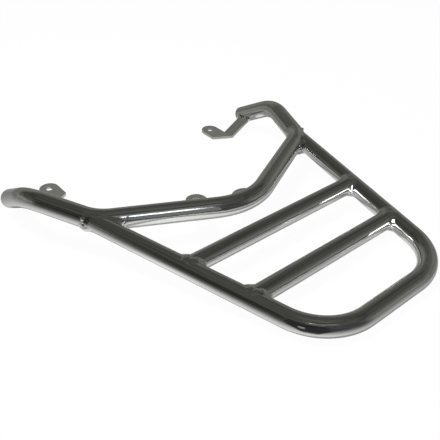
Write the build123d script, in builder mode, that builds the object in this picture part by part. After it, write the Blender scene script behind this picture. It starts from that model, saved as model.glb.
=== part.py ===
from build123d import *
from math import cos, radians, sin, tan
import os

# Motorcycle luggage rack, welded from bent steel tube and chrome plated.
# Millimetres. X is to the rider's right, Y is forward and Z is up.
# The origin is midway between the two front bolt holes, on the underside of their lugs.

# Tube stock
platform_tube_od = 19.05
platform_tube_wall = 1.6
front_tube_od = 22.2
front_tube_wall = 2.0
weld_root_gap = 0.2

# Platform, measured on the tube axes
platform_height = 48.0
crossbar_pitch = 66.7
rear_bar_pitch = 75.8
rear_corner_radius = 57.0
rail_taper_angle = 14.84
rail_joint_offset = 1.55

# Front tube: corners before rounding, with each lead taken forward from the front crossbar
front_tube_rise = 1.2
vee_apex_lead = 37.4
vee_bend_radius = 75.0
junction_lead = 110.0
junction_half_span = 144.0
junction_bend_radius = 43.0
shoulder_lead = 189.5
shoulder_half_span = 178.6
shoulder_bend_radius = 61.0
leg_length = 68.0
leg_drop_angle = 30.4
leg_toe_in_angle = 2.8

# Folded brackets on the ends of the front tube
plate_thickness = 3.5
bolt_hole_diameter = 9.0
bolt_half_spacing = 125.0
bracket_lug_width = 23.0
bracket_lug_tail = 17.5
bracket_heel_setback = 3.0
bracket_arm_width = 16.0
bracket_arm_setback = 16.6
bracket_arm_drop = 6.8
bracket_fold_setback = 1.5
bracket_fold_radius = 3.0
bracket_corner_radius = 2.5

# Tabs on the front side of the vee: each offset is taken along the tube from the middle of the vee
vee_lug_offset = 52.0
vee_lug_drop = 6.0
vee_lug_width = 23.4
vee_lug_hole_reach = 23.2
apex_lug_offset = 10.5
apex_lug_drop = 7.5
apex_lug_width = 33.0
apex_lug_reach = 10.1

# Weld beads
crossbar_weld_leg = 3.5
crossbar_weld_climb_angle = 48.0
rail_weld_leg = 4.5
rail_weld_height = 2.2
plate_weld_leg = 2.5
plate_weld_height = 1.5

# Sizes worked out from those above
platform_tube_radius = platform_tube_od / 2
front_tube_radius = front_tube_od / 2
front_tube_z = platform_height + front_tube_rise
leg_direction = Vector(
    -sin(radians(leg_toe_in_angle)) * cos(radians(leg_drop_angle)),
    cos(radians(leg_toe_in_angle)) * cos(radians(leg_drop_angle)),
    -sin(radians(leg_drop_angle)),
)

# Stations along the rack, from the brackets back to the rear bar
arm_front_y = -bracket_lug_tail
arm_rear_y = arm_front_y - bracket_arm_width
arm_middle_y = (arm_front_y + arm_rear_y) / 2
shoulder_y = arm_middle_y + bracket_arm_setback - leg_length * leg_direction.Y
front_crossbar_y = shoulder_y - shoulder_lead
junction_y = front_crossbar_y + junction_lead
rear_crossbar_y = front_crossbar_y - crossbar_pitch
rear_bar_y = rear_crossbar_y - rear_bar_pitch


def rail_half_span(y):
    """Distance from the centre line to a rail's axis, at a station along the rack."""
    return junction_half_span + rail_joint_offset + (y - junction_y) * tan(radians(rail_taper_angle))


def mirrored(point):
    """The matching point on the left half of the rack."""
    return Vector(-point.X, point.Y, point.Z)


def rod(route, radius):
    """A solid round rod along a route, used to cope, trim and back the pieces."""
    with BuildPart() as solid:
        with BuildSketch(Plane(origin=route @ 0, z_dir=route % 0)):
            Circle(radius)
        sweep(path=route)
    return solid.part


# Route of the front tube: leg, shoulder, junction, vee, junction, shoulder, leg
apex = Vector(0, front_crossbar_y + vee_apex_lead, front_tube_z)
junction = Vector(junction_half_span, junction_y, front_tube_z)
shoulder = Vector(shoulder_half_span, shoulder_y, front_tube_z)
leg_end = shoulder + leg_direction * leg_length
right_corners = [junction, shoulder, leg_end]
left_corners = [mirrored(corner) for corner in reversed(right_corners)]
side_bends = [junction_bend_radius, shoulder_bend_radius]

with BuildLine() as front_route:
    FilletPolyline(
        *left_corners,
        apex,
        *right_corners,
        radius=[*reversed(side_bends), vee_bend_radius, *side_bends],
    )
front_line = front_route.wire()

# Route of the rear loop: each rail ends where it comes closest to the axis of the front tube
rail_direction = Vector(sin(radians(rail_taper_angle)), cos(radians(rail_taper_angle)), 0)
rail_corner = Vector(rail_half_span(rear_bar_y), rear_bar_y, platform_height)
with BuildLine() as rail_reach:
    Line(rail_corner, (rail_half_span(shoulder_y), shoulder_y, platform_height))
rail_end = rail_reach.line.closest_points(front_line)[0]

with BuildLine() as loop_route:
    FilletPolyline(
        mirrored(rail_end),
        mirrored(rail_corner),
        rail_corner,
        rail_end,
        radius=rear_corner_radius,
    )
loop_line = loop_route.wire()

# Solid rods along the same routes
front_rod = rod(front_line, front_tube_radius)
front_cope = rod(front_line, front_tube_radius + weld_root_gap)
front_plate_weld_limit = rod(front_line, front_tube_radius + plate_weld_leg)
front_rail_weld_limit = rod(front_line, front_tube_radius + rail_weld_leg)
loop_rod = rod(loop_line, platform_tube_radius)
loop_cope = rod(loop_line, platform_tube_radius + weld_root_gap)

# Front tube
with BuildPart() as front_tube:
    with BuildSketch(Plane(origin=front_line @ 0, z_dir=front_line % 0)):
        Circle(front_tube_radius)
        Circle(front_tube_radius - front_tube_wall, mode=Mode.SUBTRACT)
    sweep(path=front_line)

# Rear loop, with the front end of each rail coped to the front tube
with BuildPart() as rear_loop:
    with BuildSketch(Plane(origin=loop_line @ 0, z_dir=loop_line % 0)):
        Circle(platform_tube_radius)
        Circle(platform_tube_radius - platform_tube_wall, mode=Mode.SUBTRACT)
    sweep(path=loop_line)
    add(front_cope, mode=Mode.SUBTRACT)


def crossbar_axis_plane(bar_y):
    """Plane across the middle of a crossbar, facing along it."""
    return Plane(origin=(0, bar_y, platform_height), x_dir=(0, 1, 0), z_dir=(1, 0, 0))


def crossbar(bar_y):
    """A straight tube between the rails, with both ends coped to them."""
    with BuildPart() as tube:
        with BuildSketch(crossbar_axis_plane(bar_y)):
            Circle(platform_tube_radius)
            Circle(platform_tube_radius - platform_tube_wall, mode=Mode.SUBTRACT)
        extrude(amount=rail_half_span(bar_y), both=True)
        add(loop_cope, mode=Mode.SUBTRACT)
    return tube.part


# Brackets: a strip folded up along one edge, trimmed to its plan outline and coped to the leg
inner_x = bolt_half_spacing - bracket_lug_width / 2
outer_x = bolt_half_spacing + bracket_lug_width / 2
fold_x = outer_x + bracket_fold_setback
leg_axis = leg_end - leg_direction * (bracket_arm_setback / leg_direction.Y)
arm_start = Vector(fold_x, arm_middle_y, plate_thickness / 2)
arm_seat = Vector(leg_axis.X - front_tube_radius, arm_middle_y, leg_axis.Z - bracket_arm_drop)
arm_rise = (arm_seat - arm_start).normalized()
arm_end = arm_seat + arm_rise * front_tube_radius / 2

with BuildPart() as right_bracket:
    with BuildSketch(Plane.XZ.offset(-bracket_lug_width)):
        with BuildLine():
            FilletPolyline(
                (inner_x, arm_start.Z),
                (arm_start.X, arm_start.Z),
                (arm_end.X, arm_end.Z),
                radius=bracket_fold_radius + plate_thickness / 2,
            )
        trace(line_width=plate_thickness)
    extrude(amount=bracket_lug_width - arm_rear_y)
    with BuildSketch():
        with BuildLine():
            round_end = CenterArc((bolt_half_spacing, 0), bracket_lug_width / 2, 0, 180)
            Polyline(
                round_end @ 1,
                (inner_x, arm_front_y - bracket_heel_setback),
                (fold_x, arm_rear_y),
                (arm_end.X, arm_rear_y),
                (arm_end.X, arm_front_y),
                (outer_x, arm_front_y),
                round_end @ 0,
            )
        outline = make_face()
        fillet(outline.vertices().group_by(Axis.X)[0].sort_by(Axis.Y)[0], bracket_corner_radius)
    extrude(amount=arm_end.Z + plate_thickness, mode=Mode.INTERSECT)
    with Locations((bolt_half_spacing, 0, plate_thickness)):
        Hole(bolt_hole_diameter / 2)
    add(front_cope, mode=Mode.SUBTRACT)

with BuildPart() as left_bracket:
    mirror(right_bracket.part, about=Plane.YZ)

# Tab on the left arm of the vee, square to the arm
vee_lug_place = 0.5 - vee_lug_offset / front_line.length
vee_lug_forward = Vector(0, 0, 1).cross(front_line % vee_lug_place)
vee_lug_root = front_line @ vee_lug_place - Vector(0, 0, vee_lug_drop)
vee_lug_plane = Plane(origin=vee_lug_root, x_dir=vee_lug_forward, z_dir=(0, 0, 1))

with BuildPart() as vee_lug:
    with BuildSketch(vee_lug_plane.offset(-plate_thickness / 2)):
        with Locations((vee_lug_hole_reach / 2, 0)):
            Rectangle(vee_lug_hole_reach, vee_lug_width)
        with Locations((vee_lug_hole_reach, 0)):
            Circle(vee_lug_width / 2)
            Circle(bolt_hole_diameter / 2, mode=Mode.SUBTRACT)
    extrude(amount=plate_thickness)
    add(front_cope, mode=Mode.SUBTRACT)

# Tab at the bend of the vee, pointing straight ahead
apex_lug_place = 0.5 + apex_lug_offset / front_line.length
apex_lug_root = front_line @ apex_lug_place - Vector(0, 0, apex_lug_drop)
apex_lug_plane = Plane(origin=apex_lug_root, x_dir=(0, 1, 0), z_dir=(0, 0, 1))
apex_lug_length = apex_lug_reach + apex_lug_width / 2

with BuildPart() as apex_lug:
    with BuildSketch(apex_lug_plane.offset(-plate_thickness / 2)):
        with Locations((apex_lug_reach / 2, 0)):
            Rectangle(apex_lug_reach, apex_lug_width)
        with Locations((apex_lug_reach, 0)):
            Circle(apex_lug_width / 2)
        with Locations((apex_lug_length / 2, 0)):
            Rectangle(apex_lug_length, apex_lug_width, mode=Mode.INTERSECT)
    extrude(amount=plate_thickness)
    add(front_cope, mode=Mode.SUBTRACT)


def crossbar_weld(bar_y):
    """Round beads up both sides of a crossbar's right end, along the ellipses where the two tubes meet."""
    joint = Vector(rail_half_span(bar_y), bar_y, platform_height)
    with BuildPart() as beads:
        for rail_side in (rail_direction, -rail_direction):
            corner = (rail_side - Vector(1, 0, 0)).normalized()
            corner_half_angle = rail_side.get_angle(corner)
            with BuildLine(Plane(origin=joint, x_dir=corner, z_dir=corner.cross(Vector(0, 0, 1)))):
                seam = EllipticalCenterArc(
                    (0, 0),
                    platform_tube_radius / sin(radians(corner_half_angle)),
                    platform_tube_radius,
                    -crossbar_weld_climb_angle,
                    arc_size=2 * crossbar_weld_climb_angle,
                )
            with BuildSketch(Plane(origin=seam @ 0, z_dir=seam % 0)):
                Circle(crossbar_weld_leg)
            sweep(path=seam)
        add(loop_rod, mode=Mode.SUBTRACT)
        with BuildSketch(crossbar_axis_plane(bar_y)):
            Circle(platform_tube_radius)
        extrude(amount=rail_half_span(bar_y), mode=Mode.SUBTRACT)
    return beads.part


def plate_weld(plane, width, reach, plate):
    """Bead round the end of a plate that meets the front tube, given the plate's middle plane."""
    with BuildPart() as bead:
        with BuildSketch(plane):
            Rectangle(width + 2 * plate_weld_height, plate_thickness + 2 * plate_weld_height)
        extrude(amount=reach)
        add(front_plate_weld_limit, mode=Mode.INTERSECT)
        add(front_rod, mode=Mode.SUBTRACT)
        add(plate, mode=Mode.SUBTRACT)
    return bead.part


# Weld round the front end of the right rail
with BuildPart() as right_rail_weld:
    with BuildSketch(Plane(origin=rail_end, z_dir=-rail_direction)):
        Circle(platform_tube_radius + rail_weld_height)
    extrude(amount=(rail_end - rail_corner).length / 2)
    add(front_rail_weld_limit, mode=Mode.INTERSECT)
    add(front_rod, mode=Mode.SUBTRACT)
    add(loop_rod, mode=Mode.SUBTRACT)

with BuildPart() as left_rail_weld:
    mirror(right_rail_weld.part, about=Plane.YZ)

# Welds on the plates, each along the direction in which its plate leaves the tube
right_bracket_weld = plate_weld(
    Plane(origin=arm_end, x_dir=(0, 1, 0), z_dir=-arm_rise),
    bracket_arm_width,
    (arm_end - arm_start).length,
    right_bracket.part,
)
vee_lug_seat = Plane(vee_lug_root, x_dir=front_line % vee_lug_place, z_dir=vee_lug_forward)
apex_lug_seat = Plane(apex_lug_root, x_dir=(1, 0, 0), z_dir=(0, 1, 0))
vee_lug_weld = plate_weld(
    vee_lug_seat.offset(front_tube_radius / 2),
    vee_lug_width,
    vee_lug_hole_reach,
    vee_lug.part,
)
apex_lug_weld = plate_weld(
    apex_lug_seat.offset(front_tube_radius / 2),
    apex_lug_width,
    apex_lug_length,
    apex_lug.part,
)

with BuildPart() as left_bracket_weld:
    mirror(right_bracket_weld, about=Plane.YZ)

pieces = {
    "front_tube": front_tube.part,
    "rear_loop": rear_loop.part,
    "left_bracket": left_bracket.part,
    "right_bracket": right_bracket.part,
    "vee_lug": vee_lug.part,
    "apex_lug": apex_lug.part,
    "left_rail_weld": left_rail_weld.part,
    "right_rail_weld": right_rail_weld.part,
    "left_bracket_weld": left_bracket_weld.part,
    "right_bracket_weld": right_bracket_weld,
    "vee_lug_weld": vee_lug_weld,
    "apex_lug_weld": apex_lug_weld,
}

# Crossbars, each with a weld at either end
for bar_name, bar_y in (("front_crossbar", front_crossbar_y), ("rear_crossbar", rear_crossbar_y)):
    right_weld = crossbar_weld(bar_y)
    with BuildPart() as left_weld:
        mirror(right_weld, about=Plane.YZ)
    pieces[bar_name] = crossbar(bar_y)
    pieces[f"{bar_name}_right_weld"] = right_weld
    pieces[f"{bar_name}_left_weld"] = left_weld.part

os.makedirs("parts", exist_ok=True)
for name, piece in pieces.items():
    piece.label = name
    export_step(piece, f"parts/{name}.step")
    print(name, len(piece.solids()), round(piece.volume, 1))
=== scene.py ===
# %% [markdown]
# # A chrome luggage rack
#
# The rack is welded from two sizes of steel tube and chrome plated as one piece. Polished chrome has
# almost no colour of its own: what we see in it is the white floor below and a dim room above. So this
# lesson spends its effort on three things: tubes that are truly round and smooth, weld beads with a life
# of their own, and surroundings that are worth reflecting.

import bpy
import numpy as np
from mathutils import Euler, Matrix, Vector


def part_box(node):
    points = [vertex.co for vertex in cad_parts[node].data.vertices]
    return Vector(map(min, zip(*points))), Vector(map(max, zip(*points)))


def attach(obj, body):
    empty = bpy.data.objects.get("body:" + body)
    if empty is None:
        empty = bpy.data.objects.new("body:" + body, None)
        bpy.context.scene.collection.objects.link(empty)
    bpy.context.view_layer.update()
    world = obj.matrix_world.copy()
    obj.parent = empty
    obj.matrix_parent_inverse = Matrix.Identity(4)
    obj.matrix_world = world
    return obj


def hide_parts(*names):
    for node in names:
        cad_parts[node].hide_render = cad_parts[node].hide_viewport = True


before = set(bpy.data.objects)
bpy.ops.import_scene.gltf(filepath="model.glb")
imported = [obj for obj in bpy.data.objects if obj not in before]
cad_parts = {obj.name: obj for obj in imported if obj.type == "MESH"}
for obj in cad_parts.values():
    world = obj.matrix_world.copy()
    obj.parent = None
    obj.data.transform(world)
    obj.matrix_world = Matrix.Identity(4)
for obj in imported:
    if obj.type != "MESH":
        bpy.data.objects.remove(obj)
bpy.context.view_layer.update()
MM = 0.001

# %% [markdown]
# ## The camera
#
# The photograph was taken from behind the rack's left rail, looking down by two fifths of a right angle.
# The place, the angles and the lens were measured by laying the tubes' outlines over the picture. The
# small roll comes from the rack: it lies on its front lugs and its rear bar, so it leans.

# %% Camera
CAMERA_PLACE = np.array([-373.17, -589.86, 410.99])
CAMERA_AZIMUTH = -41.612
CAMERA_ELEVATION = 36.256
CAMERA_ROLL = 2.293
FOCAL_PIXELS = 608.68
PICTURE_PIXELS = 440
SENSOR_WIDTH = 36.0

camera_data = bpy.data.cameras.new("camera")
camera_data.sensor_width = SENSOR_WIDTH
camera_data.lens = FOCAL_PIXELS / PICTURE_PIXELS * SENSOR_WIDTH
camera = bpy.data.objects.new("camera", camera_data)
aim = Euler(np.radians([90 - CAMERA_ELEVATION, 0, CAMERA_AZIMUTH])).to_matrix()
roll = Matrix.Rotation(np.radians(CAMERA_ROLL), 3, "Z")
camera.matrix_world = Matrix.Translation(CAMERA_PLACE * MM) @ (aim @ roll).to_4x4()
bpy.context.scene.collection.objects.link(camera)
bpy.context.scene.camera = camera
bpy.context.scene.view_settings.view_transform = "Standard"
print("lens", round(camera_data.lens, 2), "mm")

# %% [markdown]
# ## Small helpers
#
# Colours are written as sRGB hex codes, the way a picture editor shows them, and shaders want linear
# light, so one function converts them. Another adds a shader node, sets what is given to it and links
# what is linked to it. That keeps every material readable as a short list.


# %% Colour and node helpers
def srgb(code):
    """Linear colour from a hex code: each channel divided by 255, then taken off the sRGB curve."""
    channels = np.array([int(code[place : place + 2], 16) for place in (1, 3, 5)]) / 255
    linear = np.where(channels <= 0.04045, channels / 12.92, ((channels + 0.055) / 1.055) ** 2.4)
    return (*linear.tolist(), 1.0)


def add_node(tree, kind, inputs=None, **settings):
    """A new node: settings are its own properties, and each input is a value or a socket to link."""
    new = tree.nodes.new(kind)
    for name, value in settings.items():
        setattr(new, name, value)
    for place, value in (inputs or {}).items():
        if isinstance(value, bpy.types.NodeSocket):
            tree.links.new(value, new.inputs[place])
        else:
            new.inputs[place].default_value = value
    return new


print("half grey is", round(srgb("#808080")[0], 3), "of white in linear light")

# %% [markdown]
# ## The room that the chrome sees
#
# The rack lies on white paper, and the photograph's background is plain white. In the tubes, though, only
# their lower sides are white: above the horizon the chrome shows a dim room. Its walls are paler in front
# and to the right, and darker and a little cooler behind. Two dark screens stand along its left side, two
# soft lights hang above and two more stand low. A picture of a room could be wrapped round the scene, but a
# room of a few soft rectangles is enough for chrome and easy to move about. The world tells rays apart: the
# camera sees white, reflections see the room, and everything else gets an even grey light.


# %% Directions in the room
def heading(azimuth, elevation):
    """Unit vector for an azimuth from +Y towards +X and an elevation above the horizon, in degrees."""
    turn, lift = np.radians([azimuth, elevation])
    return (np.sin(turn) * np.cos(lift), np.cos(turn) * np.cos(lift), np.sin(lift))


def facing(tree, outlook, azimuth, elevation, ranges):
    """How far a ray points to one side: its dot product with that heading, put on a new range."""
    towards = {0: outlook, 1: heading(azimuth, elevation)}
    lean = add_node(tree, "ShaderNodeVectorMath", towards, operation="DOT_PRODUCT").outputs["Value"]
    limits = dict(enumerate((lean, *ranges)))
    return add_node(tree, "ShaderNodeMapRange", limits, interpolation_type="SMOOTHSTEP").outputs[0]


print("straight behind, at azimuth 180, is", np.round(heading(180, 0), 2).tolist())

# %% Walls and ceiling
# Each range here and below: two values of what is measured, and the levels that they are put on
PALE_WALL_AZIMUTH = 40.0
WALL_RANGE = (-0.5, -0.15, 0.06, 0.185)
WALL_TOP_RANGE = (0.2, 0.78, 0.0, 1.0)
CEILING_RANGE = (0.7, 1.0, 0.06, 0.08)

world = bpy.data.worlds.new("room")
bpy.context.scene.world = world
world.use_nodes = True
room = world.node_tree
room.nodes.clear()
outlook = add_node(room, "ShaderNodeTexCoord").outputs["Generated"]
wall = facing(room, outlook, PALE_WALL_AZIMUTH, 0, WALL_RANGE)
ceiling = facing(room, outlook, 0, 90, CEILING_RANGE)
upward = facing(room, outlook, 0, 90, WALL_TOP_RANGE)
level = add_node(room, "ShaderNodeMix", {0: upward, 2: wall, 3: ceiling}, data_type="FLOAT").outputs[0]
print("the pale wall lies towards", np.round(heading(PALE_WALL_AZIMUTH, 0), 2).tolist())

# %% Screens and lights
# Rectangles of the room: turns to the left from straight behind, lifts, softness in degrees, and level
DARK_SCREENS = (
    ((26, 88), (-20, 46), 8, 0.55),
    ((93, 178), (10, 42), 10, 0.5),
)
ROOM_LIGHTS = (
    ((28, 60), (46, 70), 10, 0.06),
    ((-6, 30), (56, 68), 6, 0.1),
    ((59, 68), (-5, 12), 4, 0.35),
    ((112, 150), (-5, 11), 6, 0.08),
)

behind = add_node(room, "ShaderNodeVectorMath", {0: outlook, "Scale": -1.0}, operation="SCALE").outputs[0]
back = add_node(room, "ShaderNodeSeparateXYZ", {0: behind}).outputs
turn = add_node(room, "ShaderNodeMath", {0: back["X"], 1: back["Y"]}, operation="ARCTAN2").outputs[0]
height = add_node(room, "ShaderNodeSeparateXYZ", {0: outlook}).outputs["Z"]
lift = add_node(room, "ShaderNodeMath", {0: height}, operation="ARCSINE").outputs[0]


def soft_rectangle(turns, lifts, soft, level):
    """A level between two turns and two lifts of the room, which fades to nothing across each edge."""
    for angle, edges in ((turn, turns), (lift, lifts)):
        for edge, outside in zip(edges, (0.0, 1.0)):
            near, far = np.radians([edge - soft / 2, edge + soft / 2])
            limits = {0: angle, 1: near, 2: far, 3: outside, 4: 1 - outside}
            share = add_node(room, "ShaderNodeMapRange", limits, interpolation_type="SMOOTHSTEP").outputs[0]
            level = add_node(room, "ShaderNodeMath", {0: share, 1: level}, operation="MULTIPLY").outputs[0]
    return level


for screen in DARK_SCREENS:
    dark = soft_rectangle(*screen)
    open_share = add_node(room, "ShaderNodeMath", {0: 1.0, 1: dark}, operation="SUBTRACT").outputs[0]
    level = add_node(room, "ShaderNodeMath", {0: level, 1: open_share}, operation="MULTIPLY").outputs[0]
for light in ROOM_LIGHTS:
    brightness = soft_rectangle(*light)
    level = add_node(room, "ShaderNodeMath", {0: level, 1: brightness}, operation="ADD").outputs[0]
print(len(DARK_SCREENS), "dark screens and", len(ROOM_LIGHTS), "soft lights")

# %% Clutter, which keeps the walls from being even
CLUTTER_STRETCH = (1.2, 1.2, 4.0)
CLUTTER_SCALE = 2.2
CLUTTER_DETAIL = 5.0
CLUTTER_ROUGHNESS = 0.6
CLUTTER_LEVELS = (0.55, 1.45)
# Noise is around a half and seldom leaves this span
NOISE_SPAN = (0.3, 0.7)

stretched = add_node(room, "ShaderNodeVectorMath", {0: outlook, 1: CLUTTER_STRETCH}, operation="MULTIPLY")
blotches = {"Vector": stretched.outputs[0], "Scale": CLUTTER_SCALE}
blotches |= {"Detail": CLUTTER_DETAIL, "Roughness": CLUTTER_ROUGHNESS}
clutter = add_node(room, "ShaderNodeTexNoise", blotches).outputs["Fac"]
limits = dict(enumerate((clutter, *NOISE_SPAN, *CLUTTER_LEVELS)))
unevenness = add_node(room, "ShaderNodeMapRange", limits).outputs[0]
level = add_node(room, "ShaderNodeMath", {0: level, 1: unevenness}, operation="MULTIPLY").outputs[0]
print("clutter multiplies the room's level by", CLUTTER_LEVELS[0], "to", CLUTTER_LEVELS[1])

# %% What each kind of ray sees
WHITE = srgb("#ffffff")
ROOM_TINT = "#fcfcf1"
BEHIND_TINT = "#f9fefd"
BEHIND_AZIMUTH = -155.0
BEHIND_RANGE = (0.2, 0.7, 0.0, 1.0)
AMBIENT_LEVEL = 0.2

rays = add_node(room, "ShaderNodeLightPath").outputs
to_mirrors = {0: rays["Is Glossy Ray"], 1: rays["Is Transmission Ray"]}
mirrored_rays = add_node(room, "ShaderNodeMath", to_mirrors, operation="MAXIMUM").outputs[0]
from_behind = facing(room, outlook, BEHIND_AZIMUTH, 0, BEHIND_RANGE)
tints = {0: from_behind, 6: srgb(ROOM_TINT), 7: srgb(BEHIND_TINT)}
tint = add_node(room, "ShaderNodeMix", tints, data_type="RGBA").outputs[2]
seen_room = add_node(room, "ShaderNodeBackground", {"Color": tint, "Strength": level}).outputs[0]
even_light = add_node(room, "ShaderNodeBackground", {"Color": WHITE, "Strength": AMBIENT_LEVEL}).outputs[0]
white = add_node(room, "ShaderNodeBackground", {"Color": WHITE, "Strength": 1.0}).outputs[0]
lit = add_node(room, "ShaderNodeMixShader", {0: mirrored_rays, 1: even_light, 2: seen_room}).outputs[0]
shown = add_node(room, "ShaderNodeMixShader", {0: rays["Is Camera Ray"], 1: lit, 2: white}).outputs[0]
add_node(room, "ShaderNodeOutputWorld", {"Surface": shown})
world.cycles.sampling_method = "NONE"
print("room of", len(room.nodes), "nodes")

# %% [markdown]
# ## The paper floor
#
# The rack comes to rest on three places: the rear edges of its two front lugs and the underside of its
# rear bar. The floor is the plane through them, so it slopes in the rack's own frame. A little geometry
# gives the slope: the bar's centre has to stand one tube radius above the floor.

# %% Floor
FLOOR_HALF_SIZE = 3000.0

lug_low = np.array(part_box("left_bracket")[0]) / MM
loop_low, loop_high = (np.array(corner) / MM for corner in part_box("rear_loop"))
platform_radius = (loop_high[2] - loop_low[2]) / 2
rear_axis = np.array([loop_low[1] + platform_radius, loop_low[2] + platform_radius])
reach_back = rear_axis - lug_low[1:]
axis_angle = np.arctan2(reach_back[1], -reach_back[0])
floor_angle = axis_angle - np.arcsin(platform_radius / np.hypot(*reach_back))


def on_floor(x, y):
    """Places on the floor in metres: the height falls with y by the slope, from the height of the lugs."""
    return (x * MM, y * MM, (lug_low[2] - np.tan(floor_angle) * (y - lug_low[1])) * MM)


corner_xy = np.array([[-1, -1], [1, -1], [1, 1], [-1, 1]]) * FLOOR_HALF_SIZE
floor_mesh = bpy.data.meshes.new("floor")
floor_mesh.from_pydata(np.column_stack(on_floor(*corner_xy.T)).tolist(), [], [(0, 1, 2, 3)])
floor = bpy.data.objects.new("floor", floor_mesh)
bpy.context.scene.collection.objects.link(floor)
print("floor slopes by", round(np.degrees(floor_angle), 2), "degrees")

# %% [markdown]
# ## How the paper shines
#
# White paper under a soft lamp sends light back evenly. What the chrome sees of it carries painted light: a
# painted pool of light, brightest beside the rack and falling off with distance, and behind the rack's left
# corner a painted shade, as if a dark screen shaded it. Seen at a low angle even matt paper shines, so
# there it mirrors the dim room, except for a small painted glare in the bay between the vee and the left
# rail, where that shine is taken away. The camera sees the paper as plain white with only a trace of the
# rack's shadow. Plain white paper under a strong lamp would need light that also bleaches the rack, so the
# paper is
# a mix of a matt surface and a glow: the matt part takes the shadow and the glow keeps the white.

# %% Where the paper is lit: a painted pool of light and a painted shade
# Painted pool of light: for reflections the paper's level falls off with distance from this middle
PAPER_MIDDLE = on_floor(-20, -260)
PAPER_FADE = (0.15, 0.9, 0.86, 0.43)
# Painted shade: a wedge of the paper past the rack's left corner is darkened, as if a dark screen shaded it
SHADE_TIP = on_floor(-88, -383)
SHADE_AZIMUTH = -131.0
SHADE_WIDTH_RANGE = (0.65, 0.85, 0.0, 0.93)
SHADE_REACH_RANGE = (0.006, 0.022, 0.0, 1.0)

# Smooth white paper: matt from above, a soft shine at a low angle, painted light and shade in reflections
paper = bpy.data.materials.new("white_paper")
paper.use_nodes = True
paper.cycles.emission_sampling = "NONE"
sheet = paper.node_tree
sheet.nodes.clear()
place = add_node(sheet, "ShaderNodeTexCoord").outputs["Object"]
# Painted pool of light, by distance from the middle
from_middle = add_node(sheet, "ShaderNodeVectorMath", {0: place, 1: PAPER_MIDDLE}, operation="DISTANCE")
limits = dict(enumerate((from_middle.outputs["Value"], *PAPER_FADE)))
fade = add_node(sheet, "ShaderNodeMapRange", limits, interpolation_type="SMOOTHSTEP").outputs[0]
# Painted shade, by direction and distance from the wedge's tip
tip_to_place = {0: place, 1: SHADE_TIP}
past_tip = add_node(sheet, "ShaderNodeVectorMath", tip_to_place, operation="SUBTRACT").outputs[0]
tip_way = add_node(sheet, "ShaderNodeVectorMath", {0: past_tip}, operation="NORMALIZE").outputs[0]
shade_width = facing(sheet, tip_way, SHADE_AZIMUTH, 0, SHADE_WIDTH_RANGE)
tip_distance = add_node(sheet, "ShaderNodeVectorMath", {0: past_tip}, operation="LENGTH").outputs["Value"]
limits = dict(enumerate((tip_distance, *SHADE_REACH_RANGE)))
shade_reach = add_node(sheet, "ShaderNodeMapRange", limits, interpolation_type="SMOOTHSTEP").outputs[0]
shade = add_node(sheet, "ShaderNodeMath", {0: shade_width, 1: shade_reach}, operation="MULTIPLY").outputs[0]
lit_share = add_node(sheet, "ShaderNodeMath", {0: 1.0, 1: shade}, operation="SUBTRACT").outputs[0]
dimmed = add_node(sheet, "ShaderNodeMath", {0: fade, 1: lit_share}, operation="MULTIPLY").outputs[0]
print("paper fades from", PAPER_FADE[2], "beside the rack to", PAPER_FADE[3], "far away")

# %% Matt face and glow
GLOW_TO_CAMERA = 0.97
GLOW_TO_CHROME = 0.3

rays = add_node(sheet, "ShaderNodeLightPath").outputs
to_mirrors = {0: rays["Is Glossy Ray"], 1: rays["Is Transmission Ray"]}
mirrored_rays = add_node(sheet, "ShaderNodeMath", to_mirrors, operation="MAXIMUM").outputs[0]
# Reflections see the paper's painted level of light and shade; the camera sees plain white
levels = {0: mirrored_rays, 2: 1.0, 3: dimmed}
level = add_node(sheet, "ShaderNodeMix", levels, data_type="FLOAT").outputs[0]
to_chrome = {0: mirrored_rays, 1: GLOW_TO_CHROME}
chrome_share = add_node(sheet, "ShaderNodeMath", to_chrome, operation="MULTIPLY").outputs[0]
shares = {0: rays["Is Camera Ray"], 1: GLOW_TO_CAMERA, 2: chrome_share}
glow_share = add_node(sheet, "ShaderNodeMath", shares, operation="MULTIPLY_ADD").outputs[0]
matt = add_node(sheet, "ShaderNodeBsdfDiffuse", {"Color": level}).outputs[0]
glow = add_node(sheet, "ShaderNodeEmission", {"Strength": level}).outputs[0]
face = add_node(sheet, "ShaderNodeMixShader", {0: glow_share, 1: matt, 2: glow}).outputs[0]
print("glow:", GLOW_TO_CAMERA, "of what the camera sees and", GLOW_TO_CHROME, "of what the chrome sees")

# %% Shine at a low angle
SHEEN_RANGE = (0.0, 0.85, 0.02, 0.9)
SHEEN_ROUGHNESS = 0.18
EVEN_BLEND = 0.5
# Painted glare: near this middle the low-angle shine is taken away, so the paper stays bright there
GLARE_MIDDLE = on_floor(-110, -220)
GLARE_FADE = (0.01, 0.09, 0.1, 1.0)

slant = add_node(sheet, "ShaderNodeLayerWeight", {"Blend": EVEN_BLEND}).outputs["Facing"]
limits = dict(enumerate((slant, *SHEEN_RANGE)))
low_angle = add_node(sheet, "ShaderNodeMapRange", limits).outputs[0]
low_rays = {0: low_angle, 1: mirrored_rays}
mirrored_low = add_node(sheet, "ShaderNodeMath", low_rays, operation="MULTIPLY").outputs[0]
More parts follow.
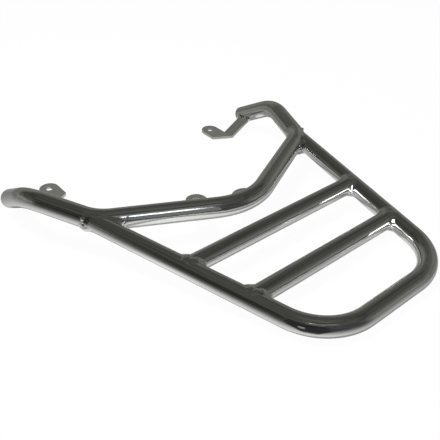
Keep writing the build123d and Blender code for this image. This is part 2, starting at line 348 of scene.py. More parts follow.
# Painted glare, by distance from its middle
from_glare = add_node(sheet, "ShaderNodeVectorMath", {0: place, 1: GLARE_MIDDLE}, operation="DISTANCE")
limits = dict(enumerate((from_glare.outputs["Value"], *GLARE_FADE)))
beside_glare = add_node(sheet, "ShaderNodeMapRange", limits, interpolation_type="SMOOTHSTEP").outputs[0]
sheen_at = {0: mirrored_low, 1: beside_glare}
sheen_share = add_node(sheet, "ShaderNodeMath", sheen_at, operation="MULTIPLY").outputs[0]
sheen = add_node(sheet, "ShaderNodeBsdfGlossy", {"Roughness": SHEEN_ROUGHNESS}).outputs[0]
surface = add_node(sheet, "ShaderNodeMixShader", {0: sheen_share, 1: face, 2: sheen}).outputs[0]
add_node(sheet, "ShaderNodeOutputMaterial", {"Surface": surface})
floor_mesh.materials.append(paper)
print("paper of", len(sheet.nodes), "nodes")

# %% [markdown]
# ## The soft lamp
#
# One round lamp hangs above the rack, a little to the left and forward. It lights the paper and the dull
# share of the plates and casts the faint shadow. A small lamp makes a hard shadow and a wide one a soft
# shadow, so this one is as wide as the rack. Its disk would show in every tube as a white spot that the
# photograph doesn't have, so reflections don't see the lamp.

# %% Lamp
LAMP_PLACE = np.array([-350.0, 200.0, 1300.0])
LAMP_SIZE = 0.4
LAMP_POWER = 20.5

lamp_data = bpy.data.lights.new("soft_lamp", "AREA")
lamp_data.shape = "DISK"
lamp_data.size = LAMP_SIZE
lamp_data.energy = LAMP_POWER
lamp = bpy.data.objects.new("soft_lamp", lamp_data)
lamp.location = LAMP_PLACE * MM
lamp.visible_glossy = False
bpy.context.scene.collection.objects.link(lamp)
print("soft lamp of", LAMP_POWER, "W, the centre", round(np.linalg.norm(LAMP_PLACE)), "mm from the origin")

# %% [markdown]
# ## Chrome plate
#
# Decorative chrome is a thin bright layer over polished nickel on steel. It is a metal, so all of its
# colour is in its reflection: a neutral grey of about four fifths. The tubes were polished on a belt
# before plating, which leaves soft ripples a few millimetres long that make straight reflections waver,
# and a faint haze. Cut plates and weld beads are harder to polish, so they are rougher. Both could come
# from pictures of real plating, but noise of a real size has no edges and looks right at any distance.


# %% Chrome finish
HAZE_PATCH = 14.0
HAZE_DETAIL = 3.0
RIPPLE_DETAIL = 4.0


def chrome_finish(name, colour, metallic, smoothest, haziest, ripple_mm, ripple_depth_mm):
    """Plated metal whose haze and ripples are noise of a real size, in millimetres."""
    finish = bpy.data.materials.new(name)
    finish.use_nodes = True
    tree = finish.node_tree
    tree.nodes.clear()
    place = add_node(tree, "ShaderNodeTexCoord").outputs["Object"]
    spread = {"Vector": place, "Scale": 1 / (HAZE_PATCH * MM), "Detail": HAZE_DETAIL}
    haze = add_node(tree, "ShaderNodeTexNoise", spread).outputs["Fac"]
    limits = dict(enumerate((haze, *NOISE_SPAN, smoothest, haziest)))
    roughness = add_node(tree, "ShaderNodeMapRange", limits).outputs[0]
    waves = {"Vector": place, "Scale": 1 / (ripple_mm * MM), "Detail": RIPPLE_DETAIL}
    ripple = add_node(tree, "ShaderNodeTexNoise", waves).outputs["Fac"]
    depth = {"Height": ripple, "Distance": ripple_depth_mm * MM, "Strength": 1.0}
    relief = add_node(tree, "ShaderNodeBump", depth).outputs[0]
    look = {"Base Color": srgb(colour), "Metallic": metallic, "Roughness": roughness, "Normal": relief}
    metal = add_node(tree, "ShaderNodeBsdfPrincipled", look)
    add_node(tree, "ShaderNodeOutputMaterial", {"Surface": metal.outputs[0]})
    print(name, "of", len(tree.nodes), "nodes")
    return finish


# %% Finishes: colour, metallic, least and most roughness, ripple length and depth in millimetres
# Tubes: belt-polished before plating, so they mirror the room with only a faint waver
polished_chrome = chrome_finish("polished_chrome", "#e5e5e4", 1.0, 0.04, 0.1, 7.0, 0.12)
# Plates: cut and folded but not polished, so the plating is duller and paler
satin_chrome = chrome_finish("satin_chrome", "#d8d8d2", 0.88, 0.13, 0.28, 3.5, 0.4)
# Beads: plated as they were laid, so they are bright but lumpy
bead_chrome = chrome_finish("bead_chrome", "#e4e4e3", 1.0, 0.05, 0.1, 3.0, 0.16)
# Beads low in a corner, where no belt reaches: coarse ripples that break the floor into sparkles,
# and a colour a little paler than the other beads', a painted highlight that brightens those sparkles
corner_bead_chrome = chrome_finish("corner_bead_chrome", "#e8e8e7", 1.0, 0.05, 0.1, 2.2, 0.5)
# Beads at the fronts of the rails: ground back and polished with the tubes
dressed_chrome = chrome_finish("dressed_chrome", "#e5e5e4", 1.0, 0.05, 0.12, 6.0, 0.12)

# %% [markdown]
# ## Tube routes
#
# A bent tube is straight runs joined by arcs. A bending drawing gives the corners before rounding and the
# radius at each, and so do the values below. From them we get a dense row of points on the tube's axis, and
# from those the tube's direction and two directions across it at any distance along. A spline through a few
# points would be shorter, but it bulges where a bent tube is straight.

# %% Sizes of the tubes and their corners, in millimetres
UP = np.array([0.0, 0.0, 1.0])
LEFT = np.array([-1.0, 1.0, 1.0])
FRONT_RADIUS = 11.1
FRONT_WALL = 2.0
PLATFORM_WALL = 1.6
PLATFORM_Z = 48.0
FRONT_Z = 49.2
RAIL_TAPER = np.radians(14.84)
CROSSBAR_PITCH = 66.7
VEE_LEAD, VEE_BEND = 37.4, 75.0
JUNCTION_LEAD, JUNCTION_SPAN, JUNCTION_BEND = 110.0, 144.0, 43.0
SHOULDER_LEAD, SHOULDER_SPAN, SHOULDER_BEND = 189.5, 178.6, 61.0
LEG_LENGTH = 68.0
LEG_DROP, LEG_TOE_IN = np.radians([30.4, 2.8])
RAIL_OFFSET = 1.55
RAIL_OVERRUN = 20.0
REAR_BEND = 57.0

bar_low, bar_high = (np.array(corner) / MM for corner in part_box("front_crossbar"))
front_bar_y = (bar_low[1] + bar_high[1]) / 2
rear_bar_y = rear_axis[0]
leg_way = np.array(
    [-np.sin(LEG_TOE_IN) * np.cos(LEG_DROP), np.cos(LEG_TOE_IN) * np.cos(LEG_DROP), -np.sin(LEG_DROP)]
)
apex = np.array([0, front_bar_y + VEE_LEAD, FRONT_Z])
junction = np.array([JUNCTION_SPAN, front_bar_y + JUNCTION_LEAD, FRONT_Z])
shoulder = np.array([SHOULDER_SPAN, front_bar_y + SHOULDER_LEAD, FRONT_Z])
leg_end = shoulder + LEG_LENGTH * leg_way
print("right side's corners", np.round([apex, junction, shoulder, leg_end], 1).tolist())

# %% Runs and arcs
POINTS_PER_MM = 2


def unit(vectors):
    """Vectors divided by their own lengths."""
    return vectors / np.linalg.norm(vectors, axis=-1, keepdims=True)


def straight(start, end):
    """Points every half millimetre or so on a straight run, without its last one."""
    count = max(2, int(np.linalg.norm(end - start) * POINTS_PER_MM))
    return start + (end - start) * np.linspace(0, 1, count, endpoint=False)[:, None]


def rounded_route(corners, radii):
    """Straight runs joined by tangent arcs: an arc of radius R that turns by A starts R tan(A/2) before its
    corner, and its points are that start plus R sin(t) along and R (1 - cos t) inward, t from 0 to A."""
    runs = []
    start = corners[0]
    for before, corner, after, radius in zip(corners, corners[1:], corners[2:], radii):
        along = unit(corner - before)
        onward = unit(after - corner)
        turn = np.arccos(along @ onward)
        inward = unit(onward - (along @ onward) * along)
        lead = radius * np.tan(turn / 2)
        bend_start = corner - lead * along
        t = np.linspace(0, turn, int(radius * turn * POINTS_PER_MM), endpoint=False)[:, None]
        runs.append(straight(start, bend_start))
        runs.append(bend_start + radius * (np.sin(t) * along + (1 - np.cos(t)) * inward))
        start = corner + lead * onward
    return np.concatenate([*runs, straight(start, corners[-1]), corners[-1:]])


def route_length(route):
    """Sum of the steps between a route's points."""
    return np.linalg.norm(np.diff(route, axis=0), axis=1).sum()


# %% Routes of the four tubes
def rail_span(y):
    """Distance of a rail's axis from the centre line, which shrinks towards the rear by the taper."""
    return JUNCTION_SPAN + RAIL_OFFSET + (y - junction[1]) * np.tan(RAIL_TAPER)


front_route = rounded_route(
    np.array([leg_end * LEFT, shoulder * LEFT, junction * LEFT, apex, junction, shoulder, leg_end]),
    [SHOULDER_BEND, JUNCTION_BEND, VEE_BEND, JUNCTION_BEND, SHOULDER_BEND],
)
rail_limit_y = junction[1] + RAIL_OVERRUN
rail_corner = np.array([rail_span(rear_bar_y), rear_bar_y, PLATFORM_Z])
rail_limit = np.array([rail_span(rail_limit_y), rail_limit_y, PLATFORM_Z])
loop_route = rounded_route(
    np.array([rail_limit * LEFT, rail_corner * LEFT, rail_corner, rail_limit]), [REAR_BEND, REAR_BEND]
)
crossbar_routes = {}
for bar_name, bar_y in (("front_crossbar", front_bar_y), ("rear_crossbar", front_bar_y - CROSSBAR_PITCH)):
    bar_end = np.array([rail_span(bar_y), bar_y, PLATFORM_Z])
    crossbar_routes[bar_name] = np.concatenate([straight(bar_end * LEFT, bar_end), bar_end[None]])
loop_length = route_length(loop_route)
print("front tube", round(route_length(front_route), 1), "mm, rear loop", round(loop_length, 1), "mm")

# %% [markdown]
# ## Coped tubes
#
# Where one tube meets another, its end is cut to a saddle. Each line along the tube's skin is followed
# towards the other tube until it is one radius away from that tube's axis: there it stops. Doing so for
# every line round the tube gives the saddle. A boolean modifier could cut it too, but it leaves ragged
# faces that chrome shows at once, and this way the same curve later carries the weld bead.


# %% Skin of a tube, and the route beside it
def frames_along(route, distances):
    """Centre and the forward, sideways and upward directions at distances along a route: centre and forward
    by interpolation, sideways as forward x up, and upward as sideways x forward."""
    travelled = np.concatenate([[0], np.cumsum(np.linalg.norm(np.diff(route, axis=0), axis=1))])
    heading_there = unit(np.gradient(route, axis=0))
    centre = np.stack([np.interp(distances, travelled, route[:, k]) for k in range(3)], axis=-1)
    forward = np.stack([np.interp(distances, travelled, heading_there[:, k]) for k in range(3)], axis=-1)
    forward = unit(forward)
    side = unit(np.cross(forward, UP))
    return centre, forward, side, np.cross(side, forward)


def skin_points(route, radius, distances, angles):
    """Points on a tube: the centre plus radius times cosine sideways and sine upward."""
    centre, _, side, rise = frames_along(route, distances)
    return centre + radius * (np.cos(angles)[..., None] * side + np.sin(angles)[..., None] * rise)


def nearest_on(route, points):
    """The route's point nearest to each point: the least of |p|^2 - 2 p.q + |q|^2 over the route's q."""
    flat = points.reshape(-1, 3)
    scores = (route**2).sum(axis=1) - 2 * flat @ route.T
    return route[scores.argmin(axis=1)].reshape(points.shape)


print("the loop's middle is at", np.round(frames_along(loop_route, loop_length / 2)[0], 1).tolist())

# %% Coping
COPE_REACH = 45.0
COPE_STEPS = 100


def part_near(route, place):
    """The stretch of a route that a joint there can reach."""
    return route[np.linalg.norm(route - place, axis=1) < 2 * COPE_REACH]


def first_meeting(points, route, radius):
    """How far along each line (0 to 1) it first comes within a radius of a route, or passes it closest."""
    gaps = np.linalg.norm(points - nearest_on(route, points), axis=-1) - radius
    inside = gaps <= 0
    meets = inside.any(axis=0)
    step = np.where(meets, np.maximum(inside.argmax(axis=0), 1), np.maximum(gaps.argmin(axis=0), 1))
    lines = np.arange(points.shape[1])
    before, after = gaps[step - 1, lines], gaps[step, lines]
    share = np.where(meets, before / (before - after), 1.0)
    return (step - 1 + share) / (len(points) - 1)


def coped_distances(route, radius, angles, from_distance, to_distance, other_route, other_radius):
    """How far along its route each skin line of a tube runs before it meets another tube."""
    distances = np.linspace(from_distance, to_distance, COPE_STEPS)
    stations, turns = np.meshgrid(distances, angles, indexing="ij")
    points = skin_points(route, radius, stations, turns)
    meeting = first_meeting(points, part_near(other_route, points[-1].mean(axis=0)), other_radius)
    return from_distance + meeting * (to_distance - from_distance)


print("skin lines are followed over the last", COPE_REACH, "mm in", COPE_STEPS, "steps")

# %% [markdown]
# ## Grids of points into meshes
#
# Every new piece here is a grid: one direction runs along the piece and the other runs round it. A grid
# that closes on itself both ways is a skin with no seam, no pole and no loose edge, like the surface of a
# ring. The faces are index arithmetic on whole arrays. If the enclosed volume comes out negative, the
# faces were wound inside out, and turning every face round puts that right.


# %% Mesh helpers
def ring_mesh(name, grid):
    """An object from a grid of points (along, round, xyz), in millimetres, closed both ways. A face joins a
    point, the next one round, and the same two one step along. The volume is a sixth of the sum of
    a . ((b - a) x (c - a) + (c - a) x (d - a)) over the faces."""
    along, around = grid.shape[:2]
    index = np.arange(along * around).reshape(along, around)
    ahead = np.roll(index, -1, axis=0)
    faces = np.stack([index, np.roll(index, -1, axis=1), np.roll(ahead, -1, axis=1), ahead], axis=-1)
    faces = faces.reshape(-1, 4)
    points = grid.reshape(-1, 3)
    a, b, c, d = (points[faces[:, corner]] for corner in range(4))
    volume = ((np.cross(b - a, c - a) + np.cross(c - a, d - a)) * a).sum() / 6
    if volume < 0:
        faces = faces[:, ::-1]
    mesh = bpy.data.meshes.new(name)
    mesh.from_pydata((points * MM).tolist(), [], faces.tolist())
    mesh.polygons.foreach_set("use_smooth", np.ones(len(faces), bool))
    mesh.update()
    piece = bpy.data.objects.new(name, mesh)
    bpy.context.scene.collection.objects.link(piece)
    print(name, len(faces), "faces,", round(abs(volume), 1), "cubic mm")
    return piece


def stand_for(piece, finish, slot, *nodes):
    """Gives a finished piece its material and lets it stand for the CAD nodes that it covers."""
    piece.data.materials.append(finish)
    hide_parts(*nodes)
    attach(piece, "root")


# %% [markdown]
# ## Skins of the tubes
#
# Each tube is a hollow skin: out along the outer wall, over the rounded rim, back along the bore and over
# the other rim. A curve object with a bevel would be quicker, but it has no bore and no coped end. The grid
# is closed both ways, so the wall is a true wall and the open ends can be looked into, as on the real rack.

# %% Hollow skin
STATION_SPACING = 2.0
POINTS_AROUND = 80
RIM_ROUNDING = 0.4
RIM_ANGLES = np.radians([0, 30, 60, 90])
angles = np.linspace(0, 2 * np.pi, POINTS_AROUND, endpoint=False)


def tube_skin(route, radius, wall, starts, ends):
    """Grid of a hollow tube. Its rings follow the wall's outline: outer wall, far rim, bore, near rim. Each
    ring lies at start + share (end - start) + shift along the route, at its own radius."""
    count = int(route_length(route) / STATION_SPACING)
    share = np.linspace(0, 1, count)
    rim_sine, rim_cosine = RIM_ROUNDING * np.sin(RIM_ANGLES), RIM_ROUNDING * np.cos(RIM_ANGLES)
    rim_shift = np.concatenate([rim_sine, rim_cosine]) - RIM_ROUNDING
    outer_rim = radius - RIM_ROUNDING + rim_cosine
    inner_rim = radius - wall + RIM_ROUNDING - rim_sine
    rim_radius = np.concatenate([outer_rim, inner_rim])
    wall_shift = RIM_ROUNDING * (1 - 2 * share[1:-1])
    far_rim, near_rim = np.ones(len(rim_shift)), np.zeros(len(rim_shift))
    shares = np.concatenate([share[1:-1], far_rim, share[-2:0:-1], near_rim])
    shifts = np.concatenate([wall_shift, rim_shift, wall_shift[::-1], -rim_shift[::-1]])
    radii = np.concatenate(
        [np.full(count - 2, radius), rim_radius, np.full(count - 2, radius - wall), rim_radius[::-1]]
    )
    distances = starts + shares[:, None] * (ends - starts) + shifts[:, None]
    turns = np.broadcast_to(angles, distances.shape)
    return skin_points(route, radii[:, None, None], distances, turns)


print("a rim is rounded by", RIM_ROUNDING, "mm on both edges")

# %% Front tube and rear loop
front_ends = np.zeros(POINTS_AROUND), np.full(POINTS_AROUND, route_length(front_route))
front_tube = ring_mesh("front_tube_skin", tube_skin(front_route, FRONT_RADIUS, FRONT_WALL, *front_ends))
stand_for(front_tube, polished_chrome, "chrome_tube", "front_tube")
loop_starts = coped_distances(
    loop_route, platform_radius, angles, COPE_REACH, 0, front_route, FRONT_RADIUS
)
loop_ends = coped_distances(
    loop_route, platform_radius, angles, loop_length - COPE_REACH, loop_length, front_route, FRONT_RADIUS
)
rear_loop = ring_mesh(
    "rear_loop_skin", tube_skin(loop_route, platform_radius, PLATFORM_WALL, loop_starts, loop_ends)
)
stand_for(rear_loop, polished_chrome, "chrome_tube", "rear_loop")

# %% Crossbars
crossbars = {}
for bar_name, route in crossbar_routes.items():
    length = route_length(route)
    starts = coped_distances(route, platform_radius, angles, COPE_REACH, 0, loop_route, platform_radius)
    ends = coped_distances(
        route, platform_radius, angles, length - COPE_REACH, length, loop_route, platform_radius
    )
    crossbars[bar_name] = ring_mesh(
        bar_name + "_skin", tube_skin(route, platform_radius, PLATFORM_WALL, starts, ends)
    )
    stand_for(crossbars[bar_name], polished_chrome, "chrome_tube", bar_name)

# %% [markdown]
# ## A streak on the bent tube
#
# The vee carries a clear white streak that the straight tubes lack: it mirrors one bright spot high up
# behind the camera, with a pale glow round the spot and a weak cool light below it. Bright patches of the
# room would show in every bend of the rack, so these three are lamps that are linked to the front tube
# alone. Light linking lists the pieces that a lamp may light in a collection.

# %% Streak lamps
STREAK_TARGET = np.array([-95.0, -180.0, 50.0])
STREAK_DISTANCE = 1000.0
STREAK_TINT = "#f8fdff"
# Way there as azimuth and elevation, width and height in metres, and radiance
STREAK_LAMPS = (
    ((-163.0, 44.0), 0.2, 0.22, 1.7),
    ((-164.0, 46.0), 0.26, 0.42, 0.2),
    ((-163.0, 13.0), 0.32, 0.66, 0.14),
)


def linked_lamp(name, way, target, distance, width, height, radiance, pieces):
    """A flat lamp that faces a target from some distance along a way and lights the listed pieces only. Its
    power is its radiance times pi times its area."""
    lamp_data = bpy.data.lights.new(name, "AREA")
    lamp_data.shape = "RECTANGLE"
    lamp_data.size = width
    lamp_data.size_y = height
    lamp_data.energy = radiance * np.pi * width * height
    lamp = bpy.data.objects.new(name, lamp_data)
    backward = Vector(heading(*way))
    stand = Matrix.Translation(Vector(target * MM) + distance * MM * backward)
    lamp.matrix_world = stand @ backward.to_track_quat("Z", "Y").to_matrix().to_4x4()
    lamp.visible_camera = False
    receivers = bpy.data.collections.new(name + "_receivers")
    for piece in pieces:
        receivers.objects.link(piece)
    lamp.light_linking.receiver_collection = receivers
    bpy.context.scene.collection.objects.link(lamp)
    return lamp_data


for number, (way, width, height, radiance) in enumerate(STREAK_LAMPS):
    lamp_data = linked_lamp(
        f"streak_lamp_{number}", way, STREAK_TARGET, STREAK_DISTANCE, width, height, radiance, [front_tube]
    )
    lamp_data.color = srgb(STREAK_TINT)[:3]

# %% [markdown]
# ## Weld beads
#
# A weld bead lies in the corner between two surfaces. Its section is a soft curve from a toe on one
# surface to a toe on the other, and it follows the seam all the way round. A welder lays the metal in small
# puddles, so the bead has fine ripples and its width wanders, and where a run starts or stops it leaves a
# drop or a pit. A grinder then dresses the tops that it can reach. Ten beads sculpted by hand would be slow
# and hard to change, so one function makes every bead: it needs the seam, the way out from each surface,
# and a way to set the toes down on them.

# %% Seam, toes and lumps
SEAM_POINTS = 240
SECTION_POINTS = 26
# How far the toes lie below the surface, so that no gap shows
SEAT_DEPTH = 0.06
LUMP_WAVES = np.arange(2, 15)
LUMP_DIVISOR = 1.5
seam_angles = np.linspace(0, 2 * np.pi, SEAM_POINTS, endpoint=False)


def onto_tube(points, route, radius):
    """Points moved straight in or out to a tube's skin, a hair below it."""
    centre = nearest_on(route, points)
    return centre + (radius - SEAT_DEPTH) * unit(points - centre)


def wander(length_along, total, chance):
    """Unevenness of about one, closed round the seam: the sum of sin(2 pi n s / total + phase) / sqrt(n)
    over the lump waves n, each with a random phase, divided by a fixed number."""
    phases = chance.uniform(0, 2 * np.pi, len(LUMP_WAVES))
    waves = np.sin(2 * np.pi * LUMP_WAVES * length_along[:, None] / total + phases) / np.sqrt(LUMP_WAVES)
    return waves.sum(axis=1) / LUMP_DIVISOR


def spot_rise(section, outward, spots):
    """Height of the drops and pits on a bead. A spot is a way out that finds it on the seam, its share of
    the way across the section, its height and its width: it adds height times exp(-(distance/width)^2)."""
    rise = np.zeros(section.shape[:2])
    for way_out, across, height, width in spots:
        there = (outward @ unit(np.array(way_out))).argmax()
        middle = section[there, round(across * (SECTION_POINTS - 1))]
        away = np.linalg.norm(section - middle, axis=-1)
        rise += height * np.exp(-((away / width) ** 2))
    return rise


print("a bead is", SEAM_POINTS, "sections of", SECTION_POINTS, "points and a root")

# %% Bead
PUDDLE_SPACING = 3.0
PUDDLE_SHARE = 0.2
# The crown's height in legs on an open corner, and what a closed corner adds
OPEN_CROWN, CLOSED_CROWN = 0.45, 0.4
# A grinder's share on a bead that faces level, and how fast it grows as the bead faces up
DRESS_LEVEL, DRESS_SLOPE = 1.0, 1.6
# How fast the spots rise from the toes, which stay on their surfaces
TOE_SLOPE = 8
ROOT_DEPTH = 0.7


def bead_grid(seam, out_a, out_b, along_a, seat_a, seat_b, leg, crown, lumps, dressing, spots, seed):
    """Grid of a bead round a closed seam. The toes lie a leg away from the seam on either surface, and the
    section between them is the quadratic curve with toe, crown point and toe as its three controls. The
    crown stands off the seam along the sum of the two ways out, further where the corner is closed. With
    the crown on the seam itself the curve is a fillet that leaves both surfaces smoothly, so dressing takes
    the crown and the lumps down where the bead faces up, which is where a grinder reaches."""
    chance = np.random.default_rng(seed)
    ahead = unit(np.roll(seam, -1, axis=0) - np.roll(seam, 1, axis=0))
    along_seam = np.concatenate([[0], np.cumsum(np.linalg.norm(np.diff(seam, axis=0), axis=1))])
    total = along_seam[-1] + np.linalg.norm(seam[0] - seam[-1])
    to_a = unit(np.cross(out_a, ahead))
    to_a *= np.sign((to_a * along_a).sum())
    to_b = unit(np.cross(out_b, ahead))
    to_b *= np.sign((to_b * out_a).sum())
    outward = unit(out_a + out_b)
    left_rough = 1 - dressing * np.clip(DRESS_SLOPE * outward[:, 2] + DRESS_LEVEL, 0, 1)
    swells = [1 + lumps * left_rough * wander(along_seam, total, chance) for _ in range(3)]
    puddle_phase = 2 * np.pi * round(total / PUDDLE_SPACING) * along_seam / total
    puddles = 1 + PUDDLE_SHARE * lumps * np.sin(puddle_phase)
    corner = np.linalg.norm(to_a + to_b, axis=1) / np.sqrt(2)
    height = leg * crown * (OPEN_CROWN + CLOSED_CROWN * corner) * swells[2] * puddles * left_rough
    toe_a = seat_a(seam + (leg * swells[0])[:, None] * to_a)
    toe_b = seat_b(seam + (leg * swells[1])[:, None] * to_b)
    peak = seam + height[:, None] * outward
    share = np.linspace(0, 1, SECTION_POINTS)[None, :, None]
    from_a = (1 - share) ** 2 * toe_a[:, None]
    from_peak = 2 * share * (1 - share) * peak[:, None]
    from_b = share**2 * toe_b[:, None]
    section = from_a + from_peak + from_b
    clear_of_toes = np.clip(TOE_SLOPE * share * (1 - share), 0, 1)
    section = section + clear_of_toes * spot_rise(section, outward, spots)[..., None] * outward[:, None]
    root = (seam - ROOT_DEPTH * outward)[:, None]
    return np.concatenate([section, root], axis=1)


# %% [markdown]
# ## Beads between tubes
#
# The crossbars' beads climb both sides of the rails and cross their crowns. Those at the fronts of the
# rails are larger and were dressed smooth on top, so that the rail seems to grow out of the bend.


# %% Bead round the end of a tube
def tube_bead(node, finish, route, radius, cut, free_side, other_route, other_radius, *shape):
    """A bead round the coped end of a tube, on the seam that the coping found."""
    seam = skin_points(route, radius, cut, seam_angles)
    own = part_near(route, seam.mean(axis=0))
    other = part_near(other_route, seam.mean(axis=0))
    grid = bead_grid(
        seam,
        unit(seam - nearest_on(own, seam)),
        unit(seam - nearest_on(other, seam)),
        free_side,
        lambda points: onto_tube(points, own, radius),
        lambda points: onto_tube(points, other, other_radius),
        *shape,
    )
    bead = ring_mesh(node + "_bead", grid)
    stand_for(bead, finish, "chrome_weld", node)
    return bead


# %% Crossbar beads
# Drops and pits: way out on the right side, share across, height and width in millimetres
CROSSBAR_SPOTS = (
    ((-0.79, -0.61, 0.0), 0.5, 1.3, 1.4),
    ((-0.77, -0.6, 0.25), 0.25, 1.1, 1.1),
    ((-0.77, -0.6, 0.2), 0.8, 1.1, 1.1),
    ((-0.72, -0.56, -0.4), 0.5, 1.1, 1.3),
    ((-0.74, -0.57, 0.35), 0.55, -0.9, 0.9),
)
# Leg, crown, lumps, dressing and spots
LEFT_CROSSBAR_BEAD = (4.8, 0.9, 0.16, 0.2, ())
RIGHT_CROSSBAR_BEAD = (4.4, 0.9, 0.3, 0.6, CROSSBAR_SPOTS)
FIRST_TUBE_SEED = 10

seed = FIRST_TUBE_SEED
crossbar_beads = {}
for bar_name, route in crossbar_routes.items():
    length = route_length(route)
    for side_name, finish, shape, start, end in (
        ("left", bead_chrome, LEFT_CROSSBAR_BEAD, COPE_REACH, 0.0),
        ("right", corner_bead_chrome, RIGHT_CROSSBAR_BEAD, length - COPE_REACH, length),
    ):
        cut = coped_distances(route, platform_radius, seam_angles, start, end, loop_route, platform_radius)
        free_side = np.array([1.0, 0, 0]) * np.sign(start - end)
        node = f"{bar_name}_{side_name}_weld"
        other = loop_route, platform_radius
        bead = tube_bead(node, finish, route, platform_radius, cut, free_side, *other, *shape, seed)
        crossbar_beads[bar_name, side_name] = bead
        seed += 1

# %% Rail beads
RAIL_SPOTS = (
    ((0.83, -0.39, 0.38), 0.8, 2.2, 1.8),
    ((0.9, -0.41, 0.07), 0.6, 1.6, 2.6),
    ((0.9, -0.41, 0.07), 0.6, -1.6, 1.2),
    ((0.85, -0.36, -0.4), 0.5, 1.6, 3.5),
    ((-0.36, -0.57, 0.74), 0.4, 1.8, 2.0),
    ((-0.55, -0.73, 0.41), 0.8, 1.6, 1.4),
    ((-0.63, -0.77, -0.05), 0.6, -0.9, 1.1),
    ((-0.63, -0.77, 0.1), 0.15, 1.2, 1.1),
    ((-0.63, -0.77, 0.0), 0.4, 1.4, 1.1),
    ((-0.63, -0.77, 0.1), 0.85, 1.2, 1.1),
)
RAIL_BEAD = (9.0, 0.7, 0.26, 1.0)

for side_name, facing_side, start, end in (
    ("left", LEFT, COPE_REACH, 0.0),
    ("right", np.ones(3), loop_length - COPE_REACH, loop_length),
):
    cut = coped_distances(loop_route, platform_radius, seam_angles, start, end, front_route, FRONT_RADIUS)
    free_side = np.array([0, -1.0, 0])
    node = f"{side_name}_rail_weld"
    spots = [(np.array(way_out) * facing_side, *size) for way_out, *size in RAIL_SPOTS]
    shape = *RAIL_BEAD, spots
    other = front_route, FRONT_RADIUS
    tube_bead(node, dressed_chrome, loop_route, platform_radius, cut, free_side, *other, *shape, seed)
    seed += 1

# %% [markdown]
# ## Light in the right corners
#
# Where the crossbars meet the right rail, two mirrors stand at nearly a right angle, and such a corner
# sends light back to where it came from. A small lamp close to the line of sight, which the camera doesn't
# see, shows as white streaks on the bars' ends and as a sparkle on their beads. Its beam is narrow, as from
# a lamp with a snoot, so that it meets little more than those corners.

# %% Corner lamp
CORNER_WAY = (-128.0, 45.0)
CORNER_TARGET = np.array([95.0, -300.0, 50.0])
CORNER_DISTANCE = 400.0
CORNER_SIZE = 0.1
CORNER_BEAM = np.radians(36.0)
CORNER_RADIANCE = 7.5

right_beads = [crossbar_beads[bar_name, "right"] for bar_name in crossbars]
corner_data = linked_lamp(
    "corner_lamp",
    CORNER_WAY,
    CORNER_TARGET,
    CORNER_DISTANCE,
    CORNER_SIZE,
    CORNER_SIZE,
    CORNER_RADIANCE,
    [rear_loop, *crossbars.values(), *right_beads],
)
corner_data.spread = CORNER_BEAM

# %% [markdown]
# ## Beads round the plates
#
# The brackets and the tabs stand with one end against the front tube and are welded all round. The seam is
# the plate's own outline, a rectangle with slightly rounded corners, pushed along the plate until every
# point touches the tube. The same bead function then covers it.

# %% Seam round a plate
PLATE_THICKNESS = 3.5
PLATE_EDGE_ROUNDING = 0.8
PLATE_BEAD = (3.0, 1.0, 0.22, 0.0, ())
PLATE_APPROACH = 22.0


def plate_outline(width):
    """Points round a plate's end and the ways out of it, in a flat frame: width across, thickness up."""
    half = np.array([width, PLATE_THICKNESS, 0]) / 2
    corners = half * np.array([[0, -1, 0], [1, -1, 0], [1, 1, 0], [-1, 1, 0], [-1, -1, 0], [0, -1, 0]])
    outline = rounded_route(corners, [PLATE_EDGE_ROUNDING] * 4)
    distances = np.linspace(0, route_length(outline), SEAM_POINTS, endpoint=False)
    centre, _, side, _ = frames_along(outline, distances)
    return centre[:, :2], side[:, :2]


def plate_bead_grid(root, across, way, width, seed):
    """Grid of the bead where a plate that runs along a way meets the front tube near a root point: each
    point of the outline moves along the way until it is one radius from the tube's axis."""
    outline, outward = plate_outline(width)
    axes = np.stack([across, np.cross(way, across)])
    start = root + outline @ axes
    steps = np.linspace(-PLATE_APPROACH, FRONT_RADIUS, COPE_STEPS)
    lines = start + steps[:, None, None] * way
    near = part_near(front_route, root)
    meeting = first_meeting(lines, near, FRONT_RADIUS) * (steps[-1] - steps[0]) + steps[0]
    seam = start + meeting[:, None] * way
    return bead_grid(
        seam,
        outward @ axes,
        unit(seam - nearest_on(near, seam)),
        -way,
        lambda points: points - SEAT_DEPTH * (outward @ axes),
        lambda points: onto_tube(points, near, FRONT_RADIUS),
        *PLATE_BEAD,
        seed,
    )


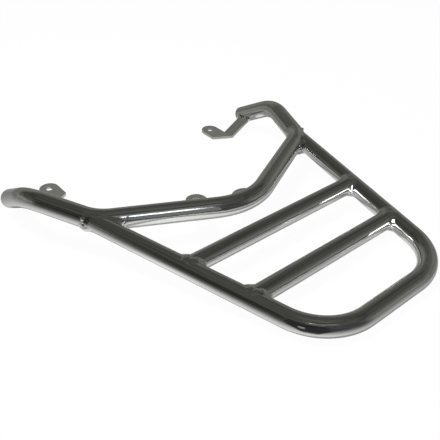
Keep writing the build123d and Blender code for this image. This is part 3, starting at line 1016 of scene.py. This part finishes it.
# %% Plate beads
BRACKET_FOLD = np.array([138.0, -25.5, 1.75])
BRACKET_ARM_WIDTH = 16.0
BRACKET_SETBACK, BRACKET_DROP = 16.6, 6.8
VEE_TAB_OFFSET, VEE_TAB_DROP, VEE_TAB_WIDTH = 52.0, 6.0, 23.4
APEX_TAB_OFFSET, APEX_TAB_DROP, APEX_TAB_WIDTH = 10.5, 7.5, 33.0
BRACKET_SEED, VEE_TAB_SEED, APEX_TAB_SEED = 31, 32, 33

leg_axis = leg_end - leg_way * (BRACKET_SETBACK / leg_way[1])
arm_seat = np.array([leg_axis[0] - FRONT_RADIUS, BRACKET_FOLD[1], leg_axis[2] - BRACKET_DROP])
arm_rise = unit(arm_seat - BRACKET_FOLD)
tab_distances = route_length(front_route) / 2 + np.array([-VEE_TAB_OFFSET, APEX_TAB_OFFSET])
tab_places, tab_ways, _, _ = frames_along(front_route, tab_distances)
vee_forward = unit(np.cross(UP, tab_ways[0]))
bracket_grid = plate_bead_grid(arm_seat, np.array([0, 1.0, 0]), arm_rise, BRACKET_ARM_WIDTH, BRACKET_SEED)
plate_beads = {
    "right_bracket_weld": bracket_grid,
    "left_bracket_weld": bracket_grid * LEFT,
    "vee_lug_weld": plate_bead_grid(
        tab_places[0] - VEE_TAB_DROP * UP + FRONT_RADIUS * vee_forward,
        tab_ways[0],
        -vee_forward,
        VEE_TAB_WIDTH,
        VEE_TAB_SEED,
    ),
    "apex_lug_weld": plate_bead_grid(
        tab_places[1] + np.array([0, FRONT_RADIUS, -APEX_TAB_DROP]),
        np.array([1.0, 0, 0]),
        np.array([0, -1.0, 0]),
        APEX_TAB_WIDTH,
        APEX_TAB_SEED,
    ),
}
for node, grid in plate_beads.items():
    stand_for(ring_mesh(node + "_bead", grid), bead_chrome, "chrome_weld", node)

# %% [markdown]
# ## Plates
#
# The four plates are strips with a round end, two of them folded and three drilled. Their shapes in the
# model are already right and could only lose by being made again. They need their finish alone, so the new
# material goes into the first slot of each plate's object.

# %% Plates keep their shapes
for node_name in ("left_bracket", "right_bracket", "vee_lug", "apex_lug"):
    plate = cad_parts[node_name]
    plate.material_slots[0].material = satin_chrome
    print(node_name, "has", len(plate.material_slots), "slot")
